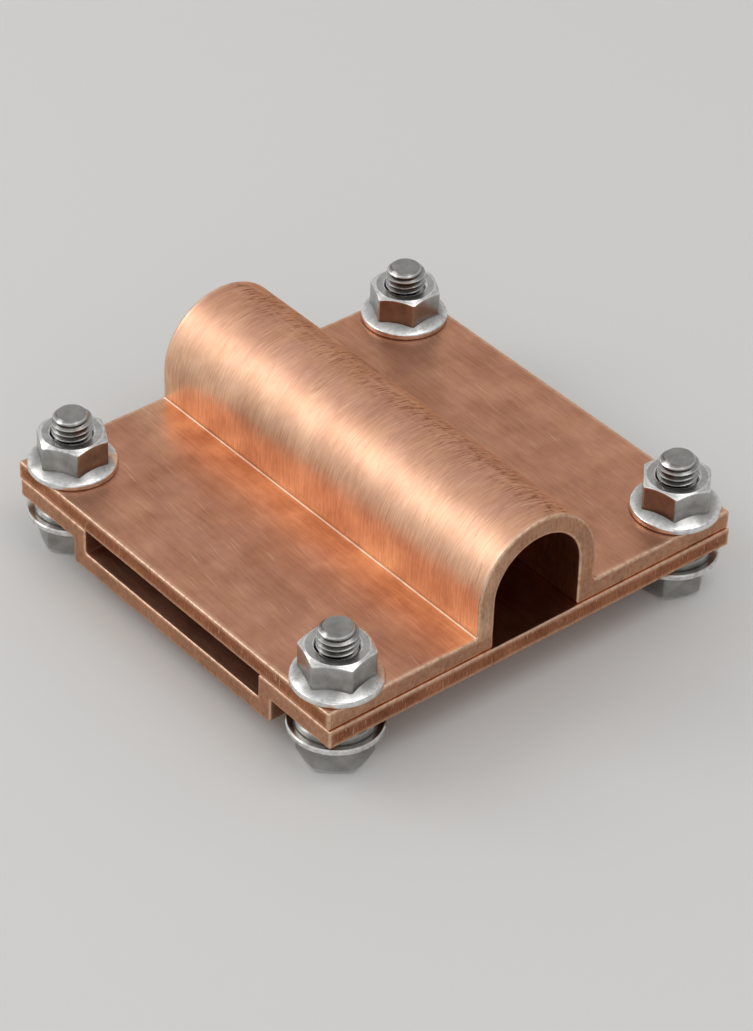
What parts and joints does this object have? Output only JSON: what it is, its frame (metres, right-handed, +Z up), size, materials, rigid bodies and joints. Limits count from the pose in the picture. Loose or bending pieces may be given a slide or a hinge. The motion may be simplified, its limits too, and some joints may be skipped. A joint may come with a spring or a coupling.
{
  "type": "cross clamp",
  "caption": "Copper cross clamp: an arched upper plate holds a round rod across a flat tape in the lower plate's channel, drawn together by flange bolts and nuts at the corners.",
  "frame": {"origin": "centre of the part on the surface that the four bolt heads stand on", "axes": "+X along the tape, +Y along the rod, +Z up from the bolt heads to the arch"},
  "size_m": [0.1032, 0.1012, 0.0386],
  "materials": {
    "copper": "bare copper sheet, brushed, with bright filed edges",
    "plated_steel": "bright zinc plated steel"
  },
  "bodies": {
    "base": {"lower_plate": "copper", "washer_front_left": "plated_steel", "washer_front_right": "plated_steel", "washer_back_left": "plated_steel", "washer_back_right": "plated_steel", "bolt_front_left": "plated_steel", "bolt_front_right": "plated_steel", "bolt_back_left": "plated_steel", "bolt_back_right": "plated_steel"},
    "upper": {"upper_plate": "copper"},
    "front_left_nut": {"nut_front_left": "plated_steel"},
    "front_right_nut": {"nut_front_right": "plated_steel"},
    "back_left_nut": {"nut_back_left": "plated_steel"},
    "back_right_nut": {"nut_back_right": "plated_steel"}
  },
  "joints": [
    {"name": "upper_lift", "type": "slide", "parent": "base", "child": "upper", "axis": [0, 0, 1], "range_m": [0, 0.00438]},
    {"name": "front_left_turn", "type": "hinge", "parent": "upper", "child": "front_left_nut", "pos_m": [-0.0422, -0.0412, 0.0216], "axis": [0, 0, 1], "range_deg": [0, 1260]},
    {"name": "front_right_turn", "type": "hinge", "parent": "upper", "child": "front_right_nut", "pos_m": [0.0422, -0.0412, 0.0216], "axis": [0, 0, 1], "range_deg": [0, 1260]},
    {"name": "back_left_turn", "type": "hinge", "parent": "upper", "child": "back_left_nut", "pos_m": [-0.0422, 0.0412, 0.0216], "axis": [0, 0, 1], "range_deg": [0, 1260]},
    {"name": "back_right_turn", "type": "hinge", "parent": "upper", "child": "back_right_nut", "pos_m": [0.0422, 0.0412, 0.0216], "axis": [0, 0, 1], "range_deg": [0, 1260]}
  ],
  "couplings": [
    {"joint": "front_left_turn", "follows": "upper_lift", "rad_per_m": 5026.5},
    {"joint": "front_right_turn", "follows": "upper_lift", "rad_per_m": 5026.5},
    {"joint": "back_left_turn", "follows": "upper_lift", "rad_per_m": 5026.5},
    {"joint": "back_right_turn", "follows": "upper_lift", "rad_per_m": 5026.5}
  ]
}
